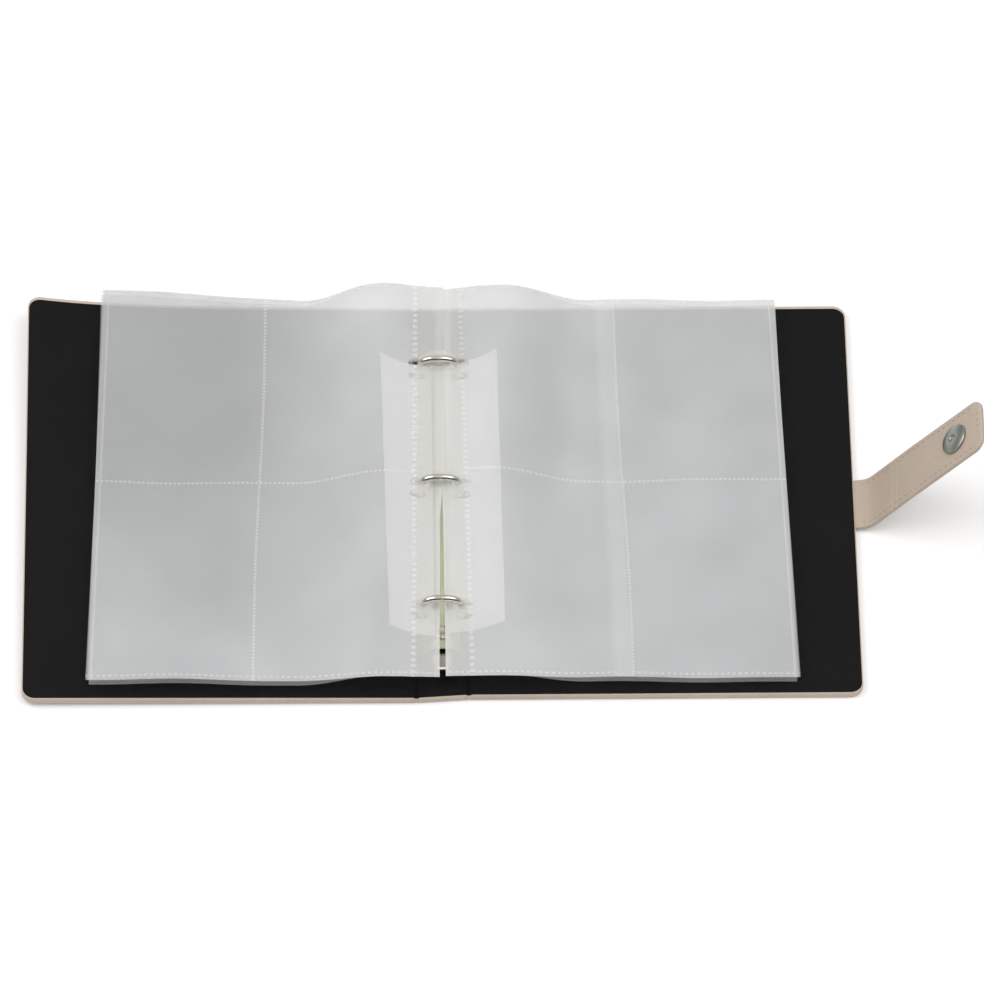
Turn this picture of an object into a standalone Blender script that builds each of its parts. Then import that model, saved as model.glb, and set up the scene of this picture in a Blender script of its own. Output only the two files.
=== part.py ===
# Ring photo album lying open: two covers on a spine, a three-ring mechanism,
# frosted pocket sheets, two page lifters and a strap with a magnetic snap.
# X runs across the open album, Y along the spine away from the reader, Z up.
import math

import bmesh
import bpy
from mathutils import Matrix, Vector

MM = 0.001
GAP = 0.3 * MM

# Covers and spine
COVER_WIDTH = 146 * MM
COVER_HEIGHT = 186 * MM
COVER_THICKNESS = 3.0 * MM
CORNER_RADIUS = 5.0 * MM
SKIN_FLOOR = 0.45 * MM
SKIN_WALL = 0.9 * MM
LINING_THICKNESS = 0.35 * MM
HINGE_X = 9.7 * MM
HINGE_HALF_GAP = 0.3 * MM

# Ring mechanism
MECHANISM_Y = -2.5 * MM
RING_PITCH = 57.1 * MM
RING_HALF_WIDTH = 8.2 * MM
RING_HALF_HEIGHT = 7.4 * MM
RING_CENTRE_Z = 12.2 * MM
RING_WIRE_RADIUS = 1.25 * MM
RING_FOOT_X = 4.0 * MM
RING_POINTS = 15
RING_TOP_SQUARENESS = 3.0
PLATE_HALF_LENGTH = 71 * MM
PLATE_HALF_WIDTH = 6.6 * MM
PLATE_EDGE_Z = 3.35 * MM
PLATE_CROWN_Z = 7.7 * MM
PLATE_THICKNESS = 0.6 * MM
PLATE_NOTCH_X = 2.8 * MM
PLATE_NOTCH_HALF_WIDTH = 1.9 * MM
CARRIER_OUTER_X = 4.9 * MM
CARRIER_LOW_Z = 3.5 * MM
CARRIER_THICKNESS = 0.8 * MM
CARRIER_HALF_LENGTH = 68 * MM
RIVET_Y = 64 * MM
RIVET_SHANK_RADIUS = 1.5 * MM
RIVET_HEAD_RADIUS = 3.0 * MM
LEVER_WIDTH = 8.0 * MM
LEVER_LENGTH = 11.0 * MM
LEVER_THICKNESS = 1.0 * MM
LEVER_PIVOT_Z = 5.4 * MM
LEVER_RISE = math.radians(20)

# Pocket sheets, measured from the middle of the gutter
SHEET_HALF_HEIGHT = 90.0 * MM
SHEET_THICKNESS = 0.35 * MM
SHEET_BINDING_X = 1.6 * MM
SHEET_HUMP_X = 20 * MM
SHEET_FLAT_X = 54 * MM
SHEET_EDGE_X = 130.5 * MM
SHEET_HUMP_Z = 17.35 * MM
SHEET_BINDING_DROP = 1.45 * MM
SHEET_PITCH = 0.65 * MM
SHEET_FLATS = (10.4 * MM, 9.75 * MM, 9.1 * MM, 6.7 * MM, 4.1 * MM)
SHEET_TURN_X = 2.61 * MM
SHEET_TURN_Z = 15.37 * MM
SLOT_INNER_X = 3.4 * MM
SLOT_OUTER_X = 11.4 * MM
SLOT_HALF_WIDTH = 2.2 * MM

# Page lifters under the sheets
LIFTER_INNER = (2.6 * MM, 8.7 * MM)
LIFTER_OUTER = (22 * MM, 13.4 * MM)
LIFTER_HALF_LENGTH = 64 * MM
LIFTER_THICKNESS = 0.5 * MM
LIFTER_SLOT_INNER_X = 5.2 * MM
LIFTER_SLOT_OUTER_X = 11.4 * MM
LIFTER_TURN_X = 2.88 * MM
LIFTER_TURN_Z = 12.53 * MM
LIFTER_TURN_SHARE = 68 / 90

# Closing strap and its magnetic snap
STRAP_Y = -2.9 * MM
STRAP_WIDTH = 22.5 * MM
STRAP_LAYER = 0.85 * MM
STRAP_BASE_LENGTH = 28.2 * MM
STRAP_TAB_LENGTH = 38.2 * MM
STRAP_TIP_RADIUS = 5.0 * MM
STRAP_BEND_RELIEF = 1.25 * MM
STRAP_ROOT_Z = 1.6 * MM
STRAP_BASE_ANGLE = math.radians(44)
STRAP_TAB_ANGLE = math.radians(50.3)
SNAP_FROM_BEND = 24.3 * MM
SOCKET_RADIUS = 6.0 * MM
SOCKET_HEIGHT = 1.6 * MM
SOCKET_HOLE_RADIUS = 1.35 * MM
SOCKET_SHELL = 0.35 * MM
STUD_FROM_HINGE = 123 * MM
STUD_RADIUS = 5.8 * MM
STUD_BASE_HEIGHT = 1.4 * MM
STUD_NUB_RADIUS = 0.95 * MM
STUD_HEIGHT = 3.2 * MM

# The stud under the front cover props that cover up by a small angle.
FRONT_TILT = math.asin(STUD_HEIGHT / STUD_FROM_HINGE)
RING_YS = {"far": MECHANISM_Y + RING_PITCH, "middle": MECHANISM_Y, "near": MECHANISM_Y - RING_PITCH}
SIDES = {"left": -1, "right": 1}


def clear_scene():
    for item in list(bpy.data.objects):
        bpy.data.objects.remove(item, do_unlink=True)


def new_collection(name):
    group = bpy.data.collections.new(name)
    bpy.context.scene.collection.children.link(group)
    return group


def new_material(name, colour, roughness, metallic=0.0, alpha=1.0):
    material = bpy.data.materials.new(name)
    material.use_nodes = True
    shader = material.node_tree.nodes["Principled BSDF"]
    shader.inputs["Base Color"].default_value = (*colour, 1.0)
    shader.inputs["Roughness"].default_value = roughness
    shader.inputs["Metallic"].default_value = metallic
    shader.inputs["Alpha"].default_value = alpha
    return material


def add_object(name, mesh, material, pivot=None):
    item = bpy.data.objects.new(name, mesh)
    parts.objects.link(item)
    if material:
        mesh.materials.append(material)
    if pivot:
        hang_on(item, pivot)
    return item


def hang_on(item, pivot):
    item.parent = pivot
    item.matrix_parent_inverse = Matrix.Translation(-pivot.location)


def add_pivot(name, x, y, z, turn=0.0):
    pivot = bpy.data.objects.new(name, None)
    pivot.location = (x, y, z)
    pivot.rotation_euler = (0.0, turn, 0.0)
    parts.objects.link(pivot)
    return pivot


def make_cutter(name, mesh, pivot=None):
    item = bpy.data.objects.new(name, mesh)
    cutters.objects.link(item)
    item.hide_render = True
    item.display_type = "WIRE"
    if pivot:
        hang_on(item, pivot)
    return item


def cut(item, cutter):
    step = item.modifiers.new("Cut " + cutter.name, "BOOLEAN")
    step.operation = "DIFFERENCE"
    step.object = cutter


def block_mesh(name, low, high, round_edges=None, radius=0.0, segments=4):
    # A box between two corners; round_edges picks the upright edges to round.
    bm = bmesh.new()
    bmesh.ops.create_cube(bm, size=1.0)
    centre = (Vector(low) + Vector(high)) / 2
    size = Vector(high) - Vector(low)
    bmesh.ops.scale(bm, vec=size, verts=bm.verts)
    bmesh.ops.translate(bm, vec=centre, verts=bm.verts)
    if round_edges:
        chosen = [edge for edge in bm.edges if round_edges(edge)]
        bmesh.ops.bevel(bm, geom=chosen, offset=radius, segments=segments, profile=0.5,
                        affect="EDGES")
    mesh = bpy.data.meshes.new(name)
    bm.to_mesh(mesh)
    bm.free()
    return mesh


def upright_on_side(side_x, middle_x):
    # Upright edges that lie beyond middle_x on the given side.
    def test(edge):
        first, second = (vert.co for vert in edge.verts)
        upright = abs(first.x - second.x) < GAP and abs(first.y - second.y) < GAP
        return upright and (first.x - middle_x) * side_x > 0
    return test


def slot_mesh(name, x_low, x_high, half_width, z_low, z_high):
    # Round-ended upright slots, one at each ring.
    bm = bmesh.new()
    for y in RING_YS.values():
        made = bmesh.ops.create_cube(bm, size=1.0)["verts"]
        bmesh.ops.scale(bm, vec=(x_high - x_low, 2 * half_width, z_high - z_low), verts=made)
        bmesh.ops.translate(bm, vec=((x_low + x_high) / 2, y, (z_low + z_high) / 2), verts=made)
        uprights = {edge for vert in made for edge in vert.link_edges
                    if abs(edge.verts[0].co.z - edge.verts[1].co.z) > GAP}
        bmesh.ops.bevel(bm, geom=list(uprights), offset=half_width * 0.9, segments=3,
                        profile=0.5, affect="EDGES")
    mesh = bpy.data.meshes.new(name)
    bm.to_mesh(mesh)
    bm.free()
    return mesh


def turned_object(name, profile, material, pivot, place, steps=24):
    # A turned piece about Z; the profile is closed and runs down its outer side.
    mesh = bpy.data.meshes.new(name)
    bm = bmesh.new()
    ring = [bm.verts.new((radius, 0.0, z)) for radius, z in profile]
    for first, second in zip(ring, ring[1:]):
        bm.edges.new((first, second))
    if profile[0][0] > 0 or profile[-1][0] > 0:
        bm.edges.new((ring[-1], ring[0]))
    bm.to_mesh(mesh)
    bm.free()
    item = add_object(name, mesh, material)
    spin = item.modifiers.new("Turn", "SCREW")
    spin.steps = steps
    spin.render_steps = steps
    spin.use_merge_vertices = True
    spin.merge_threshold = 0.00001
    item.matrix_local = place
    if pivot:
        item.parent = pivot
        item.matrix_parent_inverse = Matrix.Translation(-pivot.location)
    mesh.shade_smooth()
    return item


def add_panel(prefix, x_low, x_high, rounded_side, pivot):
    # One panel: a leatherette tray, a board in it and a lining on top.
    middle = (x_low + x_high) / 2
    half = COVER_HEIGHT / 2
    picked = upright_on_side(rounded_side, middle) if rounded_side else None

    def layer(name, inset, z_low, z_high):
        low = (x_low + inset, -half + inset, z_low)
        high = (x_high - inset, half - inset, z_high)
        return block_mesh(name, low, high, picked, max(CORNER_RADIUS - inset, GAP))

    skin = add_object(prefix + "_skin", layer(prefix + "_skin", 0, 0, COVER_THICKNESS),
                      leatherette, pivot)
    hollow = layer(prefix + "_hollow", SKIN_WALL, SKIN_FLOOR, 2 * COVER_THICKNESS)
    cut(skin, make_cutter(prefix + "_hollow", hollow, pivot))
    inset = SKIN_WALL + GAP
    lining_z = COVER_THICKNESS - LINING_THICKNESS
    board_mesh = layer(prefix + "_board", inset, SKIN_FLOOR + GAP, lining_z - GAP)
    board = add_object(prefix + "_board", board_mesh, greyboard, pivot)
    lining_mesh = layer(prefix + "_lining", inset, lining_z, COVER_THICKNESS)
    lining = add_object(prefix + "_lining", lining_mesh, black_lining, pivot)
    return skin, board, lining


def ring_point(turn):
    # The right half's centre line: turn 0 is level with the ring's middle, and the top is flattened.
    power = 2 / RING_TOP_SQUARENESS if turn > 0 else 1.0
    across = math.cos(turn) ** power
    up = math.copysign(abs(math.sin(turn)) ** power, turn)
    return (RING_HALF_WIDTH * across, RING_CENTRE_Z + RING_HALF_HEIGHT * up)


def add_ring_half(where, side_name, pivot):
    side = SIDES[side_name]
    y = RING_YS[where]
    foot = -math.acos(RING_FOOT_X / RING_HALF_WIDTH)
    top = math.acos((GAP / 2 / RING_HALF_WIDTH) ** (RING_TOP_SQUARENESS / 2))
    name = "ring_" + where + "_" + side_name
    curve = bpy.data.curves.new(name, "CURVE")
    curve.dimensions = "3D"
    curve.bevel_depth = RING_WIRE_RADIUS
    curve.bevel_resolution = 2
    curve.use_fill_caps = True
    spline = curve.splines.new("POLY")
    spline.points.add(RING_POINTS - 1)
    for index, point in enumerate(spline.points):
        x, z = ring_point(foot + (top - foot) * index / (RING_POINTS - 1))
        point.co = (side * x, y, z, 1.0)
    item = bpy.data.objects.new(name, curve)
    parts.objects.link(item)
    curve.materials.append(nickel)
    hang_on(item, pivot)
    return item


def sheet_height(x, hump, flat):
    # Level over the rings, then down a smooth slope on to the stack.
    if x < SHEET_HUMP_X:
        share = (SHEET_HUMP_X - x) / (SHEET_HUMP_X - SHEET_BINDING_X)
        return hump - SHEET_BINDING_DROP * share ** 1.5
    share = min((x - SHEET_HUMP_X) / (SHEET_FLAT_X - SHEET_HUMP_X), 1.0)
    return hump + (flat - hump) * share * share * (3 - 2 * share)


def film_mesh(name, side, xs, height, half_length):
    # An open strip across X that follows the given height.
    bm = bmesh.new()
    bmesh.ops.create_grid(bm, x_segments=len(xs) - 1, y_segments=1, size=1.0)
    columns = sorted({round(vert.co.x, 5) for vert in bm.verts})
    for vert in bm.verts:
        x = xs[columns.index(round(vert.co.x, 5))]
        vert.co = (side * x, half_length * (1 if vert.co.y > 0 else -1), height(x))
    bmesh.ops.recalc_face_normals(bm, faces=bm.faces)
    mesh = bpy.data.meshes.new(name)
    bm.to_mesh(mesh)
    bm.free()
    return mesh


def thicken(item, thickness):
    step = item.modifiers.new("Thickness", "SOLIDIFY")
    step.thickness = thickness
    step.offset = 0.0


def add_sheet(name, side, level, pivot, cutter):
    hump = SHEET_HUMP_Z - SHEET_PITCH * level
    flat = SHEET_FLATS[level]
    strip = [SHEET_BINDING_X, 6 * MM, 12 * MM, SHEET_HUMP_X]
    slope_steps = 8
    slope = [SHEET_HUMP_X + (SHEET_FLAT_X - SHEET_HUMP_X) * step / slope_steps
             for step in range(1, slope_steps + 1)]
    xs = strip + slope + [SHEET_EDGE_X]
    mesh = film_mesh(name, side, xs, lambda x: sheet_height(x, hump, flat), SHEET_HALF_HEIGHT)
    item = add_object(name, mesh, frosted_film, pivot)
    thicken(item, SHEET_THICKNESS)
    cut(item, cutter)
    return item


def add_lifter(side_name, pivot):
    side = SIDES[side_name]
    name = side_name + "_page_lifter"
    steps = 6

    def height(x):
        share = (x - LIFTER_INNER[0]) / (LIFTER_OUTER[0] - LIFTER_INNER[0])
        return LIFTER_INNER[1] + (LIFTER_OUTER[1] - LIFTER_INNER[1]) * math.sin(share * math.pi / 2)

    xs = [LIFTER_INNER[0] + (LIFTER_OUTER[0] - LIFTER_INNER[0]) * step / steps
          for step in range(steps + 1)]
    mesh = film_mesh(name, side, xs, height, LIFTER_HALF_LENGTH)
    mesh.transform(Matrix.Translation((0.0, MECHANISM_Y, 0.0)))
    item = add_object(name, mesh, white_film, pivot)
    thicken(item, LIFTER_THICKNESS)
    low, high = sorted((side * LIFTER_SLOT_INNER_X, side * LIFTER_SLOT_OUTER_X))
    slots = slot_mesh(name + "_slots", low, high, SLOT_HALF_WIDTH, 0.0, SHEET_HUMP_Z)
    cut(item, make_cutter(name + "_slots", slots, pivot))
    return item


def add_cover_plate():
    # An arched steel cover with a notch on each side of each ring.
    name = "ring_cover_plate"
    steps = 8
    rise = PLATE_CROWN_Z - PLATE_EDGE_Z - PLATE_THICKNESS
    xs = [PLATE_HALF_WIDTH * (2 * step / steps - 1) for step in range(steps + 1)]

    def height(x):
        return PLATE_EDGE_Z + PLATE_THICKNESS / 2 + rise * (1 - (x / PLATE_HALF_WIDTH) ** 2)

    mesh = film_mesh(name, 1, xs, height, PLATE_HALF_LENGTH)
    mesh.transform(Matrix.Translation((0.0, MECHANISM_Y, 0.0)))
    item = add_object(name, mesh, nickel)
    thicken(item, PLATE_THICKNESS)
    for side_name, side in SIDES.items():
        low, high = sorted((side * PLATE_NOTCH_X, side * 2 * PLATE_HALF_WIDTH))
        notches = slot_mesh(side_name + "_notches", low, high, PLATE_NOTCH_HALF_WIDTH, 0.0,
                            2 * PLATE_CROWN_Z)
        cut(item, make_cutter(side_name + "_notches", notches))
    return item


def add_rivets(pierced):
    hole = RIVET_SHANK_RADIUS + GAP
    for where, y in (("far", MECHANISM_Y + RIVET_Y), ("near", MECHANISM_Y - RIVET_Y)):
        place = Matrix.Translation((0.0, y, 0.0))
        top = PLATE_CROWN_Z + GAP
        low_head = 0.1 * MM
        head = 0.5 * MM
        profile = [(0.0, top + head), (RIVET_HEAD_RADIUS * 0.7, top + head),
                   (RIVET_HEAD_RADIUS, top), (RIVET_SHANK_RADIUS, top),
                   (RIVET_SHANK_RADIUS, SKIN_FLOOR), (RIVET_HEAD_RADIUS, SKIN_FLOOR),
                   (RIVET_HEAD_RADIUS, low_head), (0.0, low_head)]
        turned_object("plate_rivet_" + where, profile, nickel, None, place)
        wide = RIVET_HEAD_RADIUS + GAP
        bore = [(0.0, 2 * top), (hole, 2 * top), (hole, SKIN_FLOOR + GAP),
                (wide, SKIN_FLOOR + GAP), (wide, -GAP), (0.0, -GAP)]
        drill = turned_object("rivet_drill_" + where, bore, None, None, place)
        parts.objects.unlink(drill)
        cutters.objects.link(drill)
        drill.hide_render = True
        drill.display_type = "WIRE"
        for item in pierced:
            cut(item, drill)


def add_carrier(side_name, pivot):
    side = SIDES[side_name]
    inner = GAP / 2
    low_x, high_x = sorted((side * inner, side * CARRIER_OUTER_X))
    low = (low_x, MECHANISM_Y - CARRIER_HALF_LENGTH, CARRIER_LOW_Z)
    high = (high_x, MECHANISM_Y + CARRIER_HALF_LENGTH, CARRIER_LOW_Z + CARRIER_THICKNESS)
    name = side_name + "_carrier_plate"
    item = add_object(name, block_mesh(name, low, high), steel, pivot)
    clear = RIVET_SHANK_RADIUS + 4 * GAP
    for where, y in (("far", MECHANISM_Y + RIVET_Y), ("near", MECHANISM_Y - RIVET_Y)):
        window = block_mesh(name + "_window", (-clear, y - clear, 0.0),
                            (clear, y + clear, PLATE_CROWN_Z))
        cut(item, make_cutter(name + "_window_" + where, window, pivot))
    return item


def add_lever():
    # A thumb lever at the near end of the plate, hinged along X.
    y_end = MECHANISM_Y - PLATE_HALF_LENGTH - GAP
    pivot = bpy.data.objects.new("lever_pivot", None)
    pivot.location = (0.0, y_end, LEVER_PIVOT_Z)
    pivot.rotation_euler = (-LEVER_RISE, 0.0, 0.0)
    parts.objects.link(pivot)
    half = LEVER_WIDTH / 2
    low = (-half, y_end - LEVER_LENGTH, LEVER_PIVOT_Z - LEVER_THICKNESS / 2)
    high = (half, y_end - 2 * GAP, LEVER_PIVOT_Z + LEVER_THICKNESS / 2)

    def tip_edges(edge):
        first, second = (vert.co for vert in edge.verts)
        upright = abs(first.z - second.z) > GAP
        return upright and first.y < y_end - LEVER_LENGTH / 2

    mesh = block_mesh("opening_lever", low, high, tip_edges, half * 0.8)
    return add_object("opening_lever", mesh, nickel, pivot)


def strap_layers(prefix, length, frame, pivot, rounded):
    # Two leatherette layers along the strap's own x axis, inner one on top.
    half = STRAP_WIDTH / 2
    picked = upright_on_side(1, length / 2) if rounded else None
    layers = (("outer", -STRAP_LAYER - GAP / 2), ("inner", GAP / 2))
    for layer, z in layers:
        name = prefix + "_" + layer
        relief = STRAP_BEND_RELIEF if layer == "inner" else 2 * GAP
        start = relief if rounded else 2 * GAP
        end = length - 2 * GAP if rounded else length - relief
        mesh = block_mesh(name, (start, -half, z), (end, half, z + STRAP_LAYER),
                          picked, STRAP_TIP_RADIUS)
        mesh.transform(frame)
        add_object(name, mesh, leatherette, pivot)


def strap_frame(x, z, angle):
    # Local x along the strap, local z towards the inside of the album.
    return Matrix.Translation((x, STRAP_Y, z)) @ Matrix.Rotation(-angle, 4, "Y")


def add_strap():
    root_x = HINGE_X + COVER_WIDTH + STRAP_LAYER + 1.5 * GAP
    bend_x = root_x + STRAP_BASE_LENGTH * math.cos(STRAP_BASE_ANGLE)
    bend_z = STRAP_ROOT_Z + STRAP_BASE_LENGTH * math.sin(STRAP_BASE_ANGLE)
    root = add_pivot("strap_root_pivot", root_x, 0.0, STRAP_ROOT_Z)
    bend = add_pivot("strap_bend_pivot", bend_x, 0.0, bend_z)
    strap_layers("strap_base", STRAP_BASE_LENGTH, strap_frame(root_x, STRAP_ROOT_Z, STRAP_BASE_ANGLE),
                 root, False)
    tab = strap_frame(bend_x, bend_z, STRAP_TAB_ANGLE)
    strap_layers("strap_tab", STRAP_TAB_LENGTH, tab, bend, True)
    add_socket(tab, bend)
    print("strap bend at", round(bend_x, 5), round(bend_z, 5))


def add_socket(tab, pivot):
    # A steel cup with a ring magnet in it; the stud's nub enters its hole.
    face = GAP / 2 + STRAP_LAYER
    seat = tab @ Matrix.Translation((SNAP_FROM_BEND, 0.0, face + GAP / 2))
    hole = SOCKET_HOLE_RADIUS
    shell = SOCKET_SHELL
    cup = [(hole, SOCKET_HEIGHT), (SOCKET_RADIUS - shell, SOCKET_HEIGHT),
           (SOCKET_RADIUS, SOCKET_HEIGHT - shell), (SOCKET_RADIUS, 0.0),
           (SOCKET_RADIUS - shell, 0.0), (SOCKET_RADIUS - shell, SOCKET_HEIGHT - 2 * shell),
           (hole, SOCKET_HEIGHT - 2 * shell)]
    turned_object("snap_socket", cup, nickel, pivot, seat)
    outer = SOCKET_RADIUS - shell - GAP
    top = SOCKET_HEIGHT - 2 * shell - GAP
    magnet = [(hole, top), (outer, top), (outer, 0.0), (hole, 0.0)]
    turned_object("snap_magnet", magnet, steel, pivot, seat)


def add_stud(pivot):
    # The snap's male half, fixed under the front cover near its fore edge.
    seat = Matrix.Translation((-HINGE_X - STUD_FROM_HINGE, STRAP_Y, 0.0))
    base = STUD_BASE_HEIGHT
    rim = 0.3 * MM
    profile = [(0.0, -GAP), (STUD_RADIUS, -GAP), (STUD_RADIUS, rim - base),
               (STUD_RADIUS - rim, -base), (STUD_NUB_RADIUS, -base),
               (STUD_NUB_RADIUS, rim - STUD_HEIGHT), (STUD_NUB_RADIUS - rim, -STUD_HEIGHT),
               (0.0, -STUD_HEIGHT)]
    turned_object("snap_stud", profile, nickel, pivot, seat)


def add_covers():
    inner = HINGE_X + HINGE_HALF_GAP
    outer = HINGE_X + COVER_WIDTH
    front = add_pivot("front_cover_pivot", -HINGE_X, 0.0, COVER_THICKNESS, FRONT_TILT)
    back = add_pivot("back_cover_pivot", HINGE_X, 0.0, COVER_THICKNESS)
    add_panel("front_cover", -outer, -inner, -1, front)
    add_panel("back_cover", inner, outer, 1, back)
    add_stud(front)


def add_mechanism():
    spine_half = HINGE_X - HINGE_HALF_GAP
    panel = add_panel("spine", -spine_half, spine_half, 0, None)
    plate = add_cover_plate()
    carrier_z = CARRIER_LOW_Z + CARRIER_THICKNESS / 2
    for side_name, side in SIDES.items():
        pivot = add_pivot(side_name + "_rings_pivot", side * CARRIER_OUTER_X, 0.0, carrier_z)
        add_carrier(side_name, pivot)
        for where in RING_YS:
            add_ring_half(where, side_name, pivot)
    add_rivets([*panel, plate])
    add_lever()


def add_pages():
    for side_name, side in SIDES.items():
        tilt = FRONT_TILT if side < 0 else 0.0
        turn = add_pivot(side_name + "_pages_pivot", side * SHEET_TURN_X, 0.0, SHEET_TURN_Z, tilt)
        low, high = sorted((side * SLOT_INNER_X, side * SLOT_OUTER_X))
        slots = slot_mesh(side_name + "_sheet_slots", low, high, SLOT_HALF_WIDTH, 0.0,
                          2 * SHEET_HUMP_Z)
        cutter = make_cutter(side_name + "_sheet_slots", slots, turn)
        last = len(SHEET_FLATS)
        for level in range(last):
            top_left = side < 0 and level == 0
            name = "left_leaf" if top_left else side_name + "_sheet_" + str(last - level)
            add_sheet(name, side, level, turn, cutter)
        lift = add_pivot(side_name + "_lifter_pivot", side * LIFTER_TURN_X, 0.0, LIFTER_TURN_Z,
                         tilt * LIFTER_TURN_SHARE)
        add_lifter(side_name, lift)


clear_scene()
parts = new_collection("ring_photo_album")
cutters = new_collection("cutters")
leatherette = new_material("beige_leatherette", (0.62, 0.53, 0.45), 0.55)
greyboard = new_material("greyboard", (0.45, 0.43, 0.40), 0.9)
black_lining = new_material("black_lining", (0.015, 0.015, 0.015), 0.7)
nickel = new_material("nickel_plated_steel", (0.75, 0.73, 0.68), 0.2, 1.0)
steel = new_material("zinc_plated_steel", (0.5, 0.5, 0.5), 0.4, 1.0)
frosted_film = new_material("frosted_film", (0.8, 0.8, 0.79), 0.45, 0.0, 0.4)
white_film = new_material("white_film", (0.85, 0.85, 0.83), 0.5, 0.0, 0.8)

add_covers()
add_mechanism()
add_pages()
add_strap()
print("front cover tilt", round(math.degrees(FRONT_TILT), 4))
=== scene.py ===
import bpy
import bmesh
import math
from mathutils import Matrix, Vector


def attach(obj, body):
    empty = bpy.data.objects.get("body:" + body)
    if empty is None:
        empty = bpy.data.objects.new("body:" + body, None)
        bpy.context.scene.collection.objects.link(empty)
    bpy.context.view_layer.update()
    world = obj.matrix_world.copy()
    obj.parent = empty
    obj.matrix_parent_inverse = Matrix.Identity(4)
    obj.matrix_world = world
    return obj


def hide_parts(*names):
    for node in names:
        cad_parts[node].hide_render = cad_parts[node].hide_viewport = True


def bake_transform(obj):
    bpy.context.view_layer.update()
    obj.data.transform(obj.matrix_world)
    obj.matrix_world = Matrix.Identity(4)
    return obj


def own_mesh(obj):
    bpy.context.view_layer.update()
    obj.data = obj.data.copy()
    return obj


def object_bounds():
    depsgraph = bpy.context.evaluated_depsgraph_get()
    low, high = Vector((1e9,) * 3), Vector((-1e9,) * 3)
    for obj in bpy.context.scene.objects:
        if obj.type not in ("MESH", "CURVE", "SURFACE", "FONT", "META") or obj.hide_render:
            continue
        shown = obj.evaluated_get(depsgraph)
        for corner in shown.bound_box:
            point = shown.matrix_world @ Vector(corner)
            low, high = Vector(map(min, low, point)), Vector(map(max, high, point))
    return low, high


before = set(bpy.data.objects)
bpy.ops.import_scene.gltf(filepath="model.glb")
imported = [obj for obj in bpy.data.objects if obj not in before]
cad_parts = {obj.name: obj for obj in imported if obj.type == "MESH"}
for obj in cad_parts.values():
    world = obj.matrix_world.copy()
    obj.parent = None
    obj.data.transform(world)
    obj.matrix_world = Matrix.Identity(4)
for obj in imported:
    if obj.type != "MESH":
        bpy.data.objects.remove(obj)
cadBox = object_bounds()
mm = 0.001
sides = {"left": -1, "right": 1}
coverTilt = math.asin(3.2 / 123)  # the stud props the front cover up
hingeX, hingeZ = 9.7 * mm, 3.0 * mm
ringRows = {"far": 54.6 * mm, "middle": -2.5 * mm, "near": -59.6 * mm}
print("frame loaded,", len(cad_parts), "nodes")


def ease(t):
    t = min(max(t, 0.0), 1.0)
    return t * t * (3 - 2 * t)


def bump(t):
    # one smooth swell between 0 and 1
    return math.sin(math.pi * min(max(t, 0.0), 1.0))


# shader helpers

def newMaterial(name):
    mat = bpy.data.materials.new(name)
    mat.use_nodes = True
    tree = mat.node_tree
    shader = tree.nodes["Principled BSDF"]
    return mat, tree, shader


def addNode(tree, kind, **values):
    node = tree.nodes.new(kind)
    for key, value in values.items():
        if hasattr(node, key):
            setattr(node, key, value)
        else:
            node.inputs[key].default_value = value
    return node


def mathNode(tree, operation, a, b=None, c=None, clamp=False):
    node = tree.nodes.new("ShaderNodeMath")
    node.operation = operation
    node.use_clamp = clamp
    for slot, value in enumerate((a, b, c)):
        if value is None:
            continue
        if isinstance(value, (int, float)):
            node.inputs[slot].default_value = value
        else:
            tree.links.new(value, node.inputs[slot])
    return node.outputs[0]


def mixColour(tree, factor, a, b):
    node = tree.nodes.new("ShaderNodeMix")
    node.data_type = "RGBA"
    tree.links.new(factor, node.inputs[0])
    for slot, value in ((6, a), (7, b)):
        if isinstance(value, tuple):
            node.inputs[slot].default_value = (*value, 1.0)
        else:
            tree.links.new(value, node.inputs[slot])
    return node.outputs[2]


def spread(tree, value, low, high):
    # a 0 to 1 value spread from low to high
    return mathNode(tree, "MULTIPLY_ADD", value, high - low, low)


def ramp(tree, value, low, high):
    # 0 at low, 1 at high, held outside them
    return mathNode(tree, "MULTIPLY_ADD", value, 1 / (high - low), -low / (high - low), True)


def objectCoords(tree):
    return tree.nodes.new("ShaderNodeTexCoord").outputs["Object"]


def noiseValue(tree, vector, scale, detail=3.0, rough=0.55):
    node = addNode(tree, "ShaderNodeTexNoise", Scale=scale, Detail=detail, Roughness=rough)
    tree.links.new(vector, node.inputs["Vector"])
    return node.outputs["Fac"]


def bumpNormal(tree, shader, height, strength, distance):
    node = addNode(tree, "ShaderNodeBump", Strength=strength, Distance=distance)
    tree.links.new(height, node.inputs["Height"])
    tree.links.new(node.outputs["Normal"], shader.inputs["Normal"])


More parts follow.
